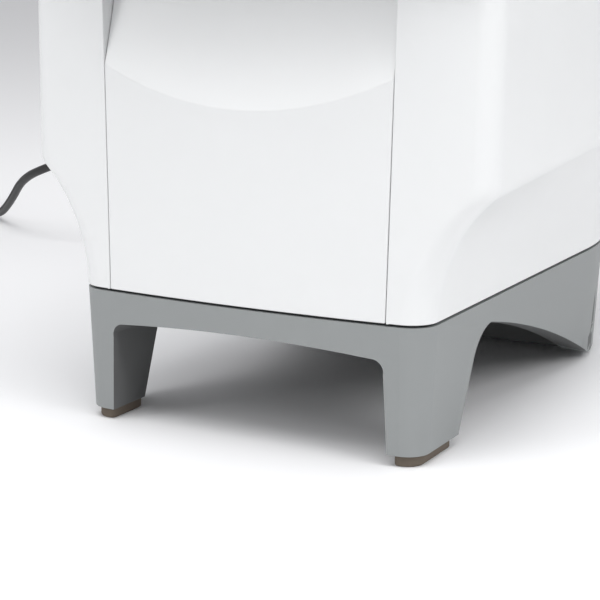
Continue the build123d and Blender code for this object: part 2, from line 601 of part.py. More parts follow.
def make_lid():
    """Hood, its inner frame and underside cover, and the hinge arms and shaft."""
    hood = hood_form(0, LID_BOTTOM) - hood_form(HOOD_WALL, LID_BOTTOM - 2)
    for x0 in (80.5, -90.5):
        hood -= block(x0, x0 + 10, FRONT - 20, FRONT - 1, 286, 326)
    for x0 in (64, -92):
        hood -= block(x0, x0 + 28, FRONT + 366, FRONT + 390, LID_BOTTOM - 5, 290)
    save("lid_cover", hood)

    frame = block(-123.3, 123.3, FRONT - 1, FRONT + 330, FRAME_Z, FRAME_Z + 3)
    frame = fillet(frame.edges().filter_by(Axis.Z), 14)
    frame -= block(-72, 72, FRONT - 5, FRONT + 46, FRAME_Z - 5, FRAME_Z + 8)
    frame -= block(-96, -72, FRONT - 5, FRONT + 8, FRAME_Z - 5, FRAME_Z + 8)
    frame -= block(72, 96, FRONT - 5, FRONT + 8, FRAME_Z - 5, FRAME_Z + 8)
    frame -= block(-91, 91, FRONT + 312, FRONT + 335, FRAME_Z - 5, FRAME_Z + 8)
    for x, y in PLATE_PINS:
        frame -= rod(3 + RUN_GAP, 10, (x, y, FRAME_Z + 1.5))
    save("lid_frame", frame)

    liner = block(-120, 120, FRONT + 50, FRONT + 322, 246, 249)
    liner = fillet(liner.edges().filter_by(Axis.Z), 10)
    liner -= block(-64, 64, BLOCK_Y - 45, BLOCK_Y + 45, 240, 255)
    screws = []
    for x in (-108, 108):
        for y in (66, 186, 300):
            liner += rod(4, FRAME_Z - 249, (x, FRONT + y, (FRAME_Z + 249) / 2))
            liner -= rod(1.6, 40, (x, FRONT + y, 247))
            screws += solids_of(rod(1.6, 12, (x, FRONT + y, 252)) + rod(3.2, 1.6, (x, FRONT + y, 245.2)))
    save("lid_liner", liner)
    save("liner_screws", *screws)

    arm = plate_x(HINGE_ARM, 84, 89) - rod(SHAFT_R, 20, (86, HINGE_Y, HINGE_Z), "X")
    save("hinge_arms", *solids_of(arm, mirror_x(arm)))
    save("hinge_shaft", rod(SHAFT_R, 182, (0, HINGE_Y, HINGE_Z), "X"))


def make_heated_plate():
    """Pressing plate with its heater mat, hung on four sprung shoulder bolts under the lid frame."""
    plate = block(-62, 62, BLOCK_Y - 43, BLOCK_Y + 43, PLATE_Z, PLATE_Z + 8)
    plate = chamfer(plate.edges().filter_by(Axis.Z), 4)
    plate = chamfer(plate.edges().group_by(Axis.Z)[0], 1)
    save("heated_plate", plate)
    save("heater_mat", block(-45, 45, BLOCK_Y - 39, BLOCK_Y + 39, PLATE_Z + 8, PLATE_Z + 9))
    save("lid_insulation", block(-45, 45, BLOCK_Y - 39, BLOCK_Y + 39, PLATE_Z + 11, FRAME_Z))
    pins, springs = [], []
    for x, y in PLATE_PINS:
        shank = rod(3, 276 - PLATE_Z - 8, (x, y, (276 + PLATE_Z + 8) / 2))
        pins += solids_of(shank + rod(5.5, 3, (x, y, 277.5)))
        springs += solids_of(tube(6, 4, FRAME_Z - PLATE_Z - 8, (x, y, (FRAME_Z + PLATE_Z + 8) / 2)))
    save("plate_bolts", *pins)
    save("plate_springs", *springs)


def make_lever():
    """Clamping lever on the front of the lid and the hooks that it works."""
    outer = ThreePointArc((0, FRONT - 15, 307), (0, FRONT - 19.5, 282), (0, FRONT - 18, 257))
    lip = ThreePointArc((0, FRONT - 18, 257), (0, FRONT - 14, 256), (0, FRONT - 12, 262))
    inner = ThreePointArc((0, FRONT - 12, 262), (0, FRONT - 13.5, 282), (0, FRONT - 11, 304))
    top = ThreePointArc((0, FRONT - 11, 304), (0, FRONT - 12, 308), (0, FRONT - 15, 307))
    section = make_face([edge.edge() for edge in (outer, lip, inner, top)])
    lever = extrude(section, amount=97, dir=(1, 0, 0), both=True)
    for x0 in (82, -89):
        arm = plate_x([(-15, 290), (-15, 304), (-2, 318), (6, 319), (9, 312), (5, 305), (-5, 294)], x0, x0 + 7)
        lever += arm - rod(2.5 + RUN_GAP, 20, (x0 + 3.5, LEVER_Y, LEVER_Z), "X")
    save("lid_lever", turn_x(lever, -LEVER_LIFT, LEVER_Y, LEVER_Z))
    pins = [rod(2.5, 20, (side * 85.5, LEVER_Y, LEVER_Z), "X") for side in (-1, 1)]
    save("lever_pins", *solids_of(*pins))

    ears = []
    for x0 in (75.5, 91.5):
        ear = plate_x([(8, 271), (38, 271), (38, 286), (12, 321), (0, 321), (-3, 312)], x0, x0 + 4)
        ears.append(ear - rod(2.5, 20, (x0 + 2, LEVER_Y, LEVER_Z), "X"))
    ears[0] -= rod(HOOK_SHAFT_R + RUN_GAP, 20, (77.5, HOOK_Y, HOOK_Z), "X")
    save("lever_brackets", *solids_of(*ears, *[mirror_x(ear) for ear in ears]))

    shape = [
        (22.6, 283), (33.4, 283), (33.4, 271), (31, 268), (30.2, 246.2),
        (34.8, 245.9), (34.8, 242.7), (26.4, 242.7), (22.6, 268),
    ]
    hooks = []
    for x0 in (46, -52):
        hook = plate_x(shape, x0, x0 + 6) - rod(HOOK_SHAFT_R, 20, (x0 + 3, HOOK_Y, HOOK_Z), "X")
        hooks.append(turn_x(hook, -HOOK_TURN, HOOK_Y, HOOK_Z))
    save("latch_hooks", rod(HOOK_SHAFT_R, 158, (0, HOOK_Y, HOOK_Z), "X"), *solids_of(*hooks))


# ---------------------------------------------------------------- mains lead
RELIEF_END = 410.0                   # behind the front of the housing
LEAD_FLOOR = LEAD_D / 2 + 0.4
LEAD_ROUTE = [
    (-64, 410, 198),
    (-64, 438, 198),
    (-78, 477, 189),
    (-109, 506, 175),
    (-149, 518, 158),
    (-189, 512, 142),
    (-227, 494, 127),
    (-262, 471, 114),
    (-297, 446, 102),
    (-332, 423, 91),
    (-372, 408, 78),
    (-413, 406, 64),
    (-449, 419, 50),
    (-482, 446, 25),
    (-517, 474, 5),
    (-553, 501, LEAD_FLOOR),
    (-590, 527, LEAD_FLOOR),
]
COIL_X = -615.0
COIL_Y = 489.0
COIL_MID_R = 39.0
TAIL_ROUTE = [
    (-657.5, 487, 18.2),
    (-658, 466, 16),
    (-660, 440, 12),
    (-658, 414, 15.5),
    (-655, 392, 18.9),
    (-655, 372, 18.9),
]
PLUG_R = 18.5


def lead_tube(route):
    """Round lead along straight runs joined by tangent arcs, with its length and bend radii."""
    points = [Vector(x, FRONT + y, z) for x, y, z in route]
    radii = []
    for before, point, after in zip(points, points[1:], points[2:]):
        run_in, run_out = point - before, after - point
        half_turn = radians(run_in.get_angle(run_out)) / 2
        radii.append(0.45 * min(run_in.length, run_out.length) / tan(half_turn))
    path = FilletPolyline(*points, radius=radii)
    start = Plane(origin=path @ 0, z_dir=path % 0)
    lead = sweep(start * Circle(LEAD_D / 2), path=path)
    print("lead radii", [round(radius) for radius in radii])
    section = pi * LEAD_D ** 2 / 4
    print("lead length", round(path.length, 1), "volume share", lead.volume / (path.length * section))
    return lead


def make_lead():
    """Mains lead from the inlet: connector, strain relief, lead, coil, its tie, and the plug."""
    back = FRONT + BODY_DEPTH
    nose = block(INLET_X - 11.8, INLET_X + 11.8, back - 12.5, back + 2.5, INLET_Z - 7.9, INLET_Z + 7.9)
    for x, z in BLADE_XZ:
        slot = Box(2.8, 12.5, 4.8)
        nose -= Pos(INLET_X + x, back - 7.75, INLET_Z + z) * slot
    front_face = Pos(INLET_X, back + 2.5, INLET_Z) * Rotation(-90, 0, 0) * RectangleRounded(28, 21, 3)
    end_face = Pos(INLET_X, back + 32, INLET_Z) * Rotation(-90, 0, 0) * RectangleRounded(17, 14, 5)
    save("mains_connector", nose + loft([front_face, end_face], ruled=True))
    relief = Cone(6.4, 4.0, FRONT + RELIEF_END - back - 32, align=(Align.CENTER, Align.CENTER, Align.MIN))
    save("strain_relief", Pos(INLET_X, back + 32, INLET_Z) * Rotation(-90, 0, 0) * relief)
    save("mains_lead", lead_tube(LEAD_ROUTE))
    save("lead_tail", lead_tube(TAIL_ROUTE))
    centre = (COIL_X, FRONT + COIL_Y)
    height = 2 * LEAD_D + 1.2
    coil = tube(COIL_MID_R + LEAD_D, COIL_MID_R - LEAD_D, height, (*centre, 0.3 + height / 2))
    save("lead_coil", coil)
    near = centre[1] - COIL_MID_R
    tie = block(COIL_X - 5, COIL_X + 5, near - 9.5, near + 9.5, 0.05, height + 2)
    tie -= block(COIL_X - 6, COIL_X + 6, near - 8, near + 8, 0.25, height + 0.6)
    save("lead_tie", tie)
    make_plug()


def make_plug():
    """Two-pin earthed mains plug lying on the bench with its own grip."""
    x, y, z = TAIL_ROUTE[-1]
    neck = Cone(6.4, 4.0, 24, align=(Align.CENTER, Align.CENTER, Align.MIN))
    body = Cylinder(PLUG_R, 34, align=(Align.CENTER, Align.CENTER, Align.MIN))
    body = fillet(body.edges().group_by(Axis.Z)[-1], 6)
    pins = [Pos(side * 9.5, 0, -9.5) * Cylinder(2.4, 19) for side in (-1, 1)]
    plug = body + pins[0] + pins[1] + Pos(0, 0, 34) * neck
    place = Pos(x, FRONT + y - 58, z) * Rotation(-90, 0, 0)
    save("mains_plug", place * plug)


make_base()
make_feet()
make_chassis()
make_housing()
make_rear()
make_power_inlet()
make_cooling()
make_electronics()
make_block()
make_catch_and_hinge()
make_lid()
make_heated_plate()
make_lever()
make_lead()
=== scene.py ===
"""Bench thermal cycler: the looks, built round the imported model.

Metres. X points right seen from the front, Y to the back, Z up, with the origin on the bench
under the middle of the unit.
"""
import json
import math

import bmesh
import bpy
from mathutils import Matrix, Vector

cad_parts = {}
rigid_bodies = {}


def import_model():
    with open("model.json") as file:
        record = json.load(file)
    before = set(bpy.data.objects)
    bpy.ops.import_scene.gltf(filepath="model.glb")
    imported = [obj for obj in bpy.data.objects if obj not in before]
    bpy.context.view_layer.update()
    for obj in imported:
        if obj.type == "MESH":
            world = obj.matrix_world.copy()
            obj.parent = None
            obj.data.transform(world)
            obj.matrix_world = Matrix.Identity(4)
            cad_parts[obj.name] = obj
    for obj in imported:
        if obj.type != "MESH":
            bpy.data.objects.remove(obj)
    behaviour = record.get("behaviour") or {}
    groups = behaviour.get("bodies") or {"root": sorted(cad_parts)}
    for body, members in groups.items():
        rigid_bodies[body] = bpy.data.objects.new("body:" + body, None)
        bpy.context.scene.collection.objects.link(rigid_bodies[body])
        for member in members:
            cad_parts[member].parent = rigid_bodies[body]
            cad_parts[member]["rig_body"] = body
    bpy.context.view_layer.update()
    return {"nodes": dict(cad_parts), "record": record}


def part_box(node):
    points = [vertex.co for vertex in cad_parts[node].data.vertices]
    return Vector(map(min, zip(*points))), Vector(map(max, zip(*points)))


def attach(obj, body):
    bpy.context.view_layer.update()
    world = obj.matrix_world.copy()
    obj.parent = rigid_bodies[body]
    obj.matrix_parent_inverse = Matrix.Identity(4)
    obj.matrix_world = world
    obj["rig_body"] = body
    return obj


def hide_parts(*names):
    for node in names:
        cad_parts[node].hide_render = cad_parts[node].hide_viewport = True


MM = 0.001

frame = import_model()
nodes = frame["nodes"]
SLOTS = {part["node"]: part["material_slot"] for part in frame["record"]["subparts"]}

# ------------------------------------------------------------------ main places and sizes
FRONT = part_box("front_panel")[0].y          # foremost line of the bowed front panel
RIM_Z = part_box("front_panel")[0].z          # where the housing starts above the base
DECK_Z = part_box("front_panel")[1].z
BODY_HALF = round(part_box("right_shell")[1].x, 3)
BASE_HALF = round(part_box("base_frame")[1].x, 3)
BODY_DEPTH = 352 * MM                       # front to back above the crease
BASE_DEPTH = 345 * MM                       # front to back at the rim
BOW_R = 960 * MM                            # radius of the bowed front, seen from above
BASE_CORNER = 15 * MM                       # radius of the front corners at the rim
BODY_CORNER = 12 * MM                       # and above the crease
COVE_R = 81 * MM                            # hollow curve that carries the sides outwards
CREASE_R = 9 * MM                           # round edge where the sides turn upright
CREASE_RISE = 24 * MM                       # how much the crease climbs from front to back
SEAM_X = 79 * MM                            # half width of the front panel at the rim
SEAM_SPREAD = 0.0167                        # and how much wider it gets with height
SEAM_GAP = 0.35 * MM
WALL = 3 * MM


# ------------------------------------------------------------------ small helpers
def srgb(code):
    """Linear RGBA of an sRGB hex colour."""
    parts = [int(code[i:i + 2], 16) / 255 for i in (1, 3, 5)]
    return (*[c / 12.92 if c <= 0.04045 else ((c + 0.055) / 1.055) ** 2.4 for c in parts], 1.0)


def add(owner, kind, settings=None, links=None):
    """Adds a node to a material or node group, sets its properties or sockets, and links its inputs."""
    tree = getattr(owner, "node_tree", owner)
    node = tree.nodes.new(kind)
    for key, value in (settings or {}).items():
        if hasattr(node, key):
            setattr(node, key, value)
        else:
            node.inputs[key].default_value = value
    for key, source in (links or {}).items():
        tree.links.new(source, node.inputs[key])
    return node


def new_material(name):
    """An empty node material with its shader and output in place."""
    material = bpy.data.materials.new(name)
    material.use_nodes = True
    return material, material.node_tree.nodes["Principled BSDF"]


def place_mesh(name, mesh):
    """A linked object at the origin for a finished mesh."""
    piece = bpy.data.objects.new(name, mesh)
    bpy.context.scene.collection.objects.link(piece)
    return piece


def from_bmesh(name, bm, smooth_angle=30):
    """Closes a bmesh into a linked object, smooth except across edges sharper than the angle."""
    mesh = bpy.data.meshes.new(name)
    bm.to_mesh(mesh)
    bm.free()
    mesh.shade_smooth()
    mesh.set_sharp_from_angle(angle=math.radians(smooth_angle))
    return place_mesh(name, mesh)


def settle(piece, smooth_angle=None):
    """Turns a piece's live modifiers or curve into its plain mesh."""
    graph = bpy.context.evaluated_depsgraph_get()
    mesh = bpy.data.meshes.new_from_object(piece.evaluated_get(graph), depsgraph=graph)
    name = piece.name
    if piece.type == "MESH":
        piece.modifiers.clear()
        piece.data = mesh
    else:
        bpy.data.objects.remove(piece)
        piece = place_mesh(name, mesh)
    if smooth_angle:
        mesh.shade_smooth()
        mesh.set_sharp_from_angle(angle=math.radians(smooth_angle))
    return piece


def soften(piece, width, segments=2, angle=30, thickness=0.0, clamp=False):
    """Gives a sheet its wall, rounds its sharp edges, and makes the result plain."""
    if thickness:
        wall = piece.modifiers.new("wall", "SOLIDIFY")
        wall.thickness = thickness
        wall.offset = -1
        wall.use_even_offset = True
    edge = piece.modifiers.new("edge", "BEVEL")
    edge.width = width
    edge.segments = segments
    edge.limit_method = "ANGLE"
    edge.angle_limit = math.radians(angle)
    edge.use_clamp_overlap = clamp
    edge.miter_outer = "MITER_ARC"
    edge.harden_normals = True
    return settle(piece)


def fit(piece, body, material, *replaced):
    """Paints a piece, lets it ride on its body, and hides the nodes that it stands for."""
    piece.data.materials.clear()
    piece.data.materials.append(material)
    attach(piece, body)
    if replaced:
        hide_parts(*replaced)
    return piece


def body_of(node):
    """Name of the body that a node rides on."""
    return nodes[node]["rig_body"]


def eased(node, width, material, angle=28, segments=2):
    """A node's own shape with its sharp edges rounded, as moulding, deburring or wear leaves them."""
    bm = bmesh.new()
    bm.from_mesh(nodes[node].data)
    bmesh.ops.remove_doubles(bm, verts=bm.verts, dist=2e-6)
    bmesh.ops.dissolve_limit(bm, angle_limit=math.radians(0.4), verts=bm.verts, edges=bm.edges)
    piece = soften(from_bmesh(node + "_shape", bm), width, segments, angle, clamp=True)
    return fit(piece, body_of(node), material, node)


# ------------------------------------------------------------------ materials
CLOUD_EDGES = (0.35, 0.65)                  # noise values at which the cloudiness is darkest and palest
METAL_STRETCH = 0.03                        # how far the noise is drawn out into lines


def mottled(material, shader, code, spread, scale, rough, rough_spread):
    """Slight cloudiness in colour and gloss over a surface, as handling and moulding leave it."""
    where = add(material, "ShaderNodeTexCoord").outputs["Object"]
    cloud = add(
        material, "ShaderNodeTexNoise",
        {"Scale": scale, "Detail": 5.0, "Roughness": 0.6}, {"Vector": where},
    )
    low = [channel * (1 - spread) for channel in srgb(code)[:3]] + [1.0]
    ramp = add(material, "ShaderNodeValToRGB", {}, {"Fac": cloud.outputs["Fac"]})
    ramp.color_ramp.elements[0].position = CLOUD_EDGES[0]
    ramp.color_ramp.elements[0].color = low
    ramp.color_ramp.elements[1].position = CLOUD_EDGES[1]
    ramp.color_ramp.elements[1].color = srgb(code)
    gloss = add(
        material, "ShaderNodeMapRange",
        {"To Min": rough - rough_spread, "To Max": rough + rough_spread},
        {"Value": cloud.outputs["Fac"]},
    )
    material.node_tree.links.new(ramp.outputs["Color"], shader.inputs["Base Color"])
    material.node_tree.links.new(gloss.outputs["Result"], shader.inputs["Roughness"])
    return where


def grained(material, shader, where, grain, depth):
    """Fine raised grain, as an etched mould or a powder coat leaves."""
    bumps = add(material, "ShaderNodeTexNoise", {"Scale": 1 / grain, "Detail": 3.0}, {"Vector": where})
    bump = add(
        material, "ShaderNodeBump",
        {"Strength": 1.0, "Distance": depth}, {"Height": bumps.outputs["Fac"]},
    )
    material.node_tree.links.new(bump.outputs["Normal"], shader.inputs["Normal"])


def plastic(name, code, rough, grain, depth, spread=0.03, ior=1.5, gloss=0.04):
    """Moulded or cast polymer with an even colour, a fine grain and slightly uneven gloss."""
    material, shader = new_material(name)
    shader.inputs["IOR"].default_value = ior
    where = mottled(material, shader, code, spread, scale=14.0, rough=rough, rough_spread=gloss)
    grained(material, shader, where, grain, depth)
    return material


def metal(name, code, rough, scratch, along, depth):
    """Bare or plated metal with fine lines along one axis, drawn wider than real so that they show."""
    material, shader = new_material(name)
    shader.inputs["Metallic"].default_value = 1.0
    where = mottled(material, shader, code, spread=0.12, scale=40.0, rough=rough, rough_spread=0.08)
    stretch = [1.0, 1.0, 1.0]
    stretch["XYZ".index(along)] = METAL_STRETCH
    lines = add(material, "ShaderNodeMapping", {"Scale": stretch}, {"Vector": where})
    grained(material, shader, lines.outputs["Vector"], scratch, depth)
    return material


def make_materials():
    """Every finish, by its slot or, for the painted shade inside the arches, by its place.

    Each has its colour, its roughness, and the size and depth of its grain or lines.
    """
    return {
        # Injection-moulded ABS/PC, near white: a soft satin with a broad, weak highlight.
        "housing": plastic("white ABS moulding", "#E1E2E2", 0.27, 0.9 * MM, 0.010 * MM, 0.008, 1.52, 0.008),
        # Grey structural-foam moulding, painted: duller than the housing, faintly orange-peeled.
        "base_grey": plastic("grey painted foam moulding", "#8D9090", 0.50, 1.6 * MM, 0.020 * MM, 0.03),
        # Painted shade: the same grey moulding made darker and duller inside the arches, standing in for the
        # shade there, which makes the arches read as deep.
        "base_painted_shade": plastic("grey foam moulding with painted shade", "#646565", 0.7, 1.6 * MM, 0.03 * MM, 0.08),
        # Nitrile rubber: matt, brown-grey, picks up dust.
        "foot_rubber": plastic("brown nitrile rubber", "#6A6055", 0.85, 0.8 * MM, 0.05 * MM, 0.15),
        # Powder-coated steel: near black with a fine orange peel. Where its edge shows in the gap under the
        # housing, that near black also stands in for the shade in the gap, as painted shade.
        "tray_steel": plastic("black powder-coated steel and gap shade", "#1B1C1E", 0.55, 0.9 * MM, 0.04 * MM, 0.1),
        # Zinc-plated sheet: grey metal with rolling lines and cloudy passivation.
        "zinc_steel": metal("zinc-plated steel", "#A9ADB0", 0.38, 0.8 * MM, "Y", 0.01 * MM),
        # Stainless: brighter, finely brushed round or along the part.
        "stainless": metal("brushed stainless steel", "#BFC0C0", 0.26, 0.5 * MM, "X", 0.01 * MM),
        # Anodised aluminium: pale, satin, with machining marks.
        "aluminium": metal("anodised aluminium", "#C9CBCC", 0.33, 0.7 * MM, "X", 0.012 * MM),
        # Glass-filled nylon: black, matt, fine grain.
        "black_plastic": plastic("black glass-filled nylon", "#1A1A1B", 0.5, 0.7 * MM, 0.03 * MM, 0.12),
        # Grey ABS for the lever: satin, a little worn at the edges.
        "lever_grey": plastic("grey ABS moulding", "#8E9295", 0.42, 0.8 * MM, 0.02 * MM, 0.05),
        # Dark grey polyphenylene for hot parts: matt.
        "liner_plastic": plastic("dark heat-resistant moulding", "#4A4D50", 0.55, 0.8 * MM, 0.03 * MM, 0.08),
        # Alumina ceramic faces of the thermoelectric elements: chalky white.
        "ceramic": plastic("alumina ceramic", "#E4E1DA", 0.6, 0.5 * MM, 0.01 * MM, 0.04, 1.7),
        # Silicone: red-brown, matt, slightly waxy.
        "silicone": plastic("red-brown silicone", "#A2553F", 0.6, 0.9 * MM, 0.02 * MM, 0.08, 1.43),
        # Solder mask on glass laminate: glossy green.
        "board_green": plastic("green solder mask", "#1E5A35", 0.25, 1.5 * MM, 0.01 * MM, 0.15),
        # Turned brass: warm, with lathe lines.
        "brass": metal("turned brass", "#C9A35B", 0.28, 0.4 * MM, "X", 0.01 * MM),
        # Soft PVC of the lead: black, low sheen, faint waviness from extrusion.
        "lead_black": plastic("black PVC lead", "#1D1D1E", 0.42, 2.2 * MM, 0.05 * MM, 0.12),
        # Spring wire: bright drawn steel.
        "spring_steel": metal("drawn spring steel", "#9B9DA0", 0.3, 0.4 * MM, "Y", 0.01 * MM),
    }


PAINT = make_materials()


# ------------------------------------------------------------------ housing mouldings
SPREAD = BODY_HALF - BASE_HALF              # how far the sides stand out above the crease
COVE_TOP = COVE_R * math.sqrt(1 - (1 - SPREAD / (COVE_R + CREASE_R)) ** 2)
CREASE_TOP = COVE_TOP * (COVE_R + CREASE_R) / COVE_R
PANEL_DEPTH = 27 * MM                       # how deep the returns reach behind the seams
REAR_HALF = 92 * MM                         # half width of the opening for the rear panel
REAR_LOW = 165 * MM                         # and its lower and upper edge
REAR_HIGH = 232 * MM
REAR_CORNER_X = (60, 35)                    # rear corners' half axes in millimetres, rim and crease
REAR_CORNER_Y = (100, 35)
SCOOP_ARC_R = 365 * MM                      # arc of the scoop's lower edge
SCOOP_LOW_Z = 170 * MM                      # lowest point of that edge
SCOOP_BALL_Y = 1039 * MM                    # how far in front of the unit the ball's centre lies
SCOOP_BALL_SQ = SCOOP_ARC_R ** 2 + SCOOP_BALL_Y ** 2
FRONT_COUNT, CORNER_COUNT, SIDE_COUNT = 7, 12, 14       # points round a shell, from front to back
REAR_CORNER_COUNT, REAR_COUNT = 22, 5
PANEL_COLUMNS, LOW_ROWS, SCOOP_ROWS = 33, 9, 12
SCOOP_EASE = 2 * MM                         # rows this close to the scoop's edge keep it crisp


def flare(height):
    """How far the side stands out at a height above the rim."""
    if height <= COVE_TOP:
        return COVE_R - math.sqrt(COVE_R ** 2 - height ** 2)
    return SPREAD - CREASE_R + math.sqrt(max(CREASE_R ** 2 - (CREASE_TOP - height) ** 2, 0.0))


def bow_y(x):
    """Where the bowed front lies at x."""
    return FRONT + BOW_R - math.sqrt(BOW_R ** 2 - x ** 2)


def seam_x(z, offset):
    """Half width of the front panel's region at a height."""
    return SEAM_X + offset + SEAM_SPREAD * (z - RIM_Z)


def spaced(start, stop, count):
    """Evenly spaced values, both ends included."""
    return [start + (stop - start) * index / (count - 1) for index in range(count)]


def shell_outline(height):
    """Plan of the right shell at a height above the rim, from inside the seam round to the back."""
    share = flare(height) / SPREAD
    climb = height / CREASE_TOP
    half = BASE_HALF + flare(height)
    rear = FRONT + BASE_DEPTH + (BODY_DEPTH - BASE_DEPTH) * share
    radius = BASE_CORNER + (BODY_CORNER - BASE_CORNER) * climb
    rx = (REAR_CORNER_X[0] + (REAR_CORNER_X[1] - REAR_CORNER_X[0]) * share) * MM
    ry = (REAR_CORNER_Y[0] + (REAR_CORNER_Y[1] - REAR_CORNER_Y[0]) * share) * MM
    corner_y = FRONT + BOW_R - math.sqrt((BOW_R - radius) ** 2 - (half - radius) ** 2)
    touch = (half - radius) * BOW_R / (BOW_R - radius)
    start = math.atan2(bow_y(touch) - corner_y, touch - half + radius)
    front = [(x, bow_y(x)) for x in spaced(seam_x(RIM_Z + height, SEAM_GAP / 2), touch, FRONT_COUNT)]
    points = [(front[0][0], FRONT + PANEL_DEPTH)] + front
    for angle in spaced(start, 0, CORNER_COUNT)[1:]:
        points.append((half - radius + radius * math.cos(angle), corner_y + radius * math.sin(angle)))
    points += [(half, y) for y in spaced(corner_y, rear - ry, SIDE_COUNT)[1:]]
    for angle in spaced(0, math.pi / 2, REAR_CORNER_COUNT)[1:]:
        points.append((half - rx + rx * math.cos(angle), rear - ry + ry * math.sin(angle)))
    flat_x = half - rx
    points.append((REAR_HALF if flat_x > REAR_HALF + MM else flat_x - 0.5 * MM, rear))
    points += [(x, rear) for x in spaced(min(REAR_HALF, flat_x - MM), SEAM_GAP / 2, REAR_COUNT)[1:]]
    slope = CREASE_RISE / BODY_DEPTH * climb
    return [(x, y, RIM_Z + height + slope * (y - FRONT)) for x, y in points]


def make_shell(side, node):
    """One side of the housing: flared below, creased, upright above, with its return behind the seam."""
    heights = spaced(0, COVE_TOP, 20) + spaced(COVE_TOP, CREASE_TOP, 12)[1:]
    rows = [shell_outline(height) for height in heights]
    crease = rows[-1]
    for z in (REAR_LOW, REAR_HIGH, DECK_Z - 0.6 * MM, DECK_Z):
        front_x = seam_x(z, SEAM_GAP / 2) - crease[0][0]
        row = []
        for index, (x, y, _) in enumerate(crease):
            row.append((x + front_x * max(0.0, 1 - index / FRONT_COUNT), y, z))
        rows.append(row)
    bm = bmesh.new()
    grid = [[bm.verts.new((side * x, y, z)) for x, y, z in row] for row in rows]
    opening_row = len(heights)
    opening_start = len(crease) - REAR_COUNT
    for level, (lower, upper) in enumerate(zip(grid, grid[1:])):
        for index in range(len(crease) - 1):
            if level == opening_row and index >= opening_start:
                continue
            corners = [lower[index], lower[index + 1], upper[index + 1], upper[index]]
            bm.faces.new(corners if side > 0 else corners[::-1])
    piece = soften(from_bmesh(node + "_shape", bm, 35), 0.6 * MM, 2, 40, WALL)
    return fit(piece, "base", PAINT["housing"], node)


def scoop_edge(x):
    """Height at which the scoop starts at x."""
    reach = bow_y(x) - FRONT + SCOOP_BALL_Y
    return SCOOP_LOW_Z + SCOOP_ARC_R - math.sqrt(SCOOP_BALL_SQ - x ** 2 - reach ** 2)


def scoop_y(x, z):
    """Where the scoop's ball lies at a place on the panel."""
    below = z - SCOOP_LOW_Z - SCOOP_ARC_R
    return FRONT - SCOOP_BALL_Y + math.sqrt(SCOOP_BALL_SQ - x ** 2 - below ** 2)


def panel_column(share, returned):
    """Places up the front panel at a share of its half width, ending on the top flange."""
    edge = scoop_edge(share * seam_x(SCOOP_LOW_Z, -SEAM_GAP / 2))
    below = spaced(RIM_Z, edge - SCOOP_EASE, LOW_ROWS) + [edge]
    heights = below + spaced(edge + SCOOP_EASE, DECK_Z, SCOOP_ROWS)
    places = []
    for index, z in enumerate(heights):
        x = share * seam_x(z, -SEAM_GAP / 2)
        y = bow_y(x) if index < len(below) else scoop_y(x, z)
        places.append((x, FRONT + PANEL_DEPTH if returned else y, z))
    places.append((share * seam_x(DECK_Z, -SEAM_GAP / 2), FRONT + PANEL_DEPTH, DECK_Z))
    return places


def make_front_panel():
    """Bowed panel with the ball-shaped scoop, its side returns and its top flange."""
    bm = bmesh.new()
    columns = []
    for number, share in enumerate([-1.0] + spaced(-1, 1, PANEL_COLUMNS) + [1.0]):
        places = panel_column(share, number in (0, PANEL_COLUMNS + 1))
        columns.append([bm.verts.new(place) for place in places])
    for number, (left, right) in enumerate(zip(columns, columns[1:])):
        rows = len(left) - (2 if number in (0, PANEL_COLUMNS) else 1)
        for index in range(rows):
            bm.faces.new([left[index], right[index], right[index + 1], left[index + 1]])
    bmesh.ops.remove_doubles(bm, verts=bm.verts, dist=1e-6)
    piece = soften(from_bmesh("front_panel_shape", bm, 12), 0.7 * MM, 3, 14, WALL)
    return fit(piece, "base", PAINT["housing"], "front_panel")


make_shell(-1, "left_shell")
make_shell(1, "right_shell")
make_front_panel()


# ------------------------------------------------------------------ shapes eased from their own nodes
def make_eased():
    """Pieces whose own form only lacks its rounded edges."""
    widths = {                              # width of the rounding in millimetres
        "base_frame": 1.1, "front_feet": 0.9, "rear_feet": 0.9, "top_deck": 0.4,
        "mains_inlet": 0.4, "switch_frame": 0.4, "switch_rocker": 0.5, "fuse_drawer": 0.4,
        "data_sockets": 0.3,
        "block_frame": 0.5, "block_seal": 0.8, "catch_posts": 0.5, "hinge_brackets": 0.3,
        "hinge_bushes": 0.3, "hinge_arms": 0.4, "lid_frame": 0.25, "lid_liner": 0.5,
        "lid_lever": 1.2, "lever_brackets": 0.3, "latch_hooks": 0.4, "heated_plate": 0.4, "lead_tie": 0.5,
        "mains_connector": 1.0, "fan_frame": 0.4, "air_duct": 0.2, "heat_sink": 0.2, "power_supply": 0.4,
        "board_parts": 0.3, "lid_insulation": 0.8,
    }
    for node, width in widths.items():
        eased(node, width * MM, PAINT[SLOTS[node]])


# Limits of the painted shade inside the base's arches.
ARCH_LOW, ARCH_HIGH = 7 * MM, 58.5 * MM     # above the legs' soles, over the side arches' tops
ARCH_HALF = 96.4 * MM                       # farther out only the legs' outer sides are left
ARCH_DEEP = FRONT + 200 * MM                # from here on every face in these limits is inside
ARCH_BACK = FRONT + 272 * MM                # just past the inner face of the back wall
FRONT_SKIN = 3.2 * MM                       # depth behind the front that keeps the plain grey, without painted shade


def paint_shade_in_arches(piece):
    """Faces inside the arches of the base take a darker grey as painted shade; only what shows from outside
    keeps the plain grey.
    """
    piece.data.materials.append(PAINT["base_painted_shade"])
    for face in piece.data.polygons:
        place, normal = face.center, face.normal
        lengthwise = bow_y(place.x) + FRONT_SKIN < place.y < ARCH_BACK
        inside = lengthwise and ARCH_LOW < place.z < ARCH_HIGH and abs(place.x) < ARCH_HALF
        inward = normal.x * math.copysign(1, place.x) < -0.3 or normal.z < -0.3 or normal.y > 0.3
        if inside and (inward or place.y > ARCH_DEEP):
            face.material_index = 1


make_eased()
paint_shade_in_arches(bpy.data.objects["base_frame_shape"])


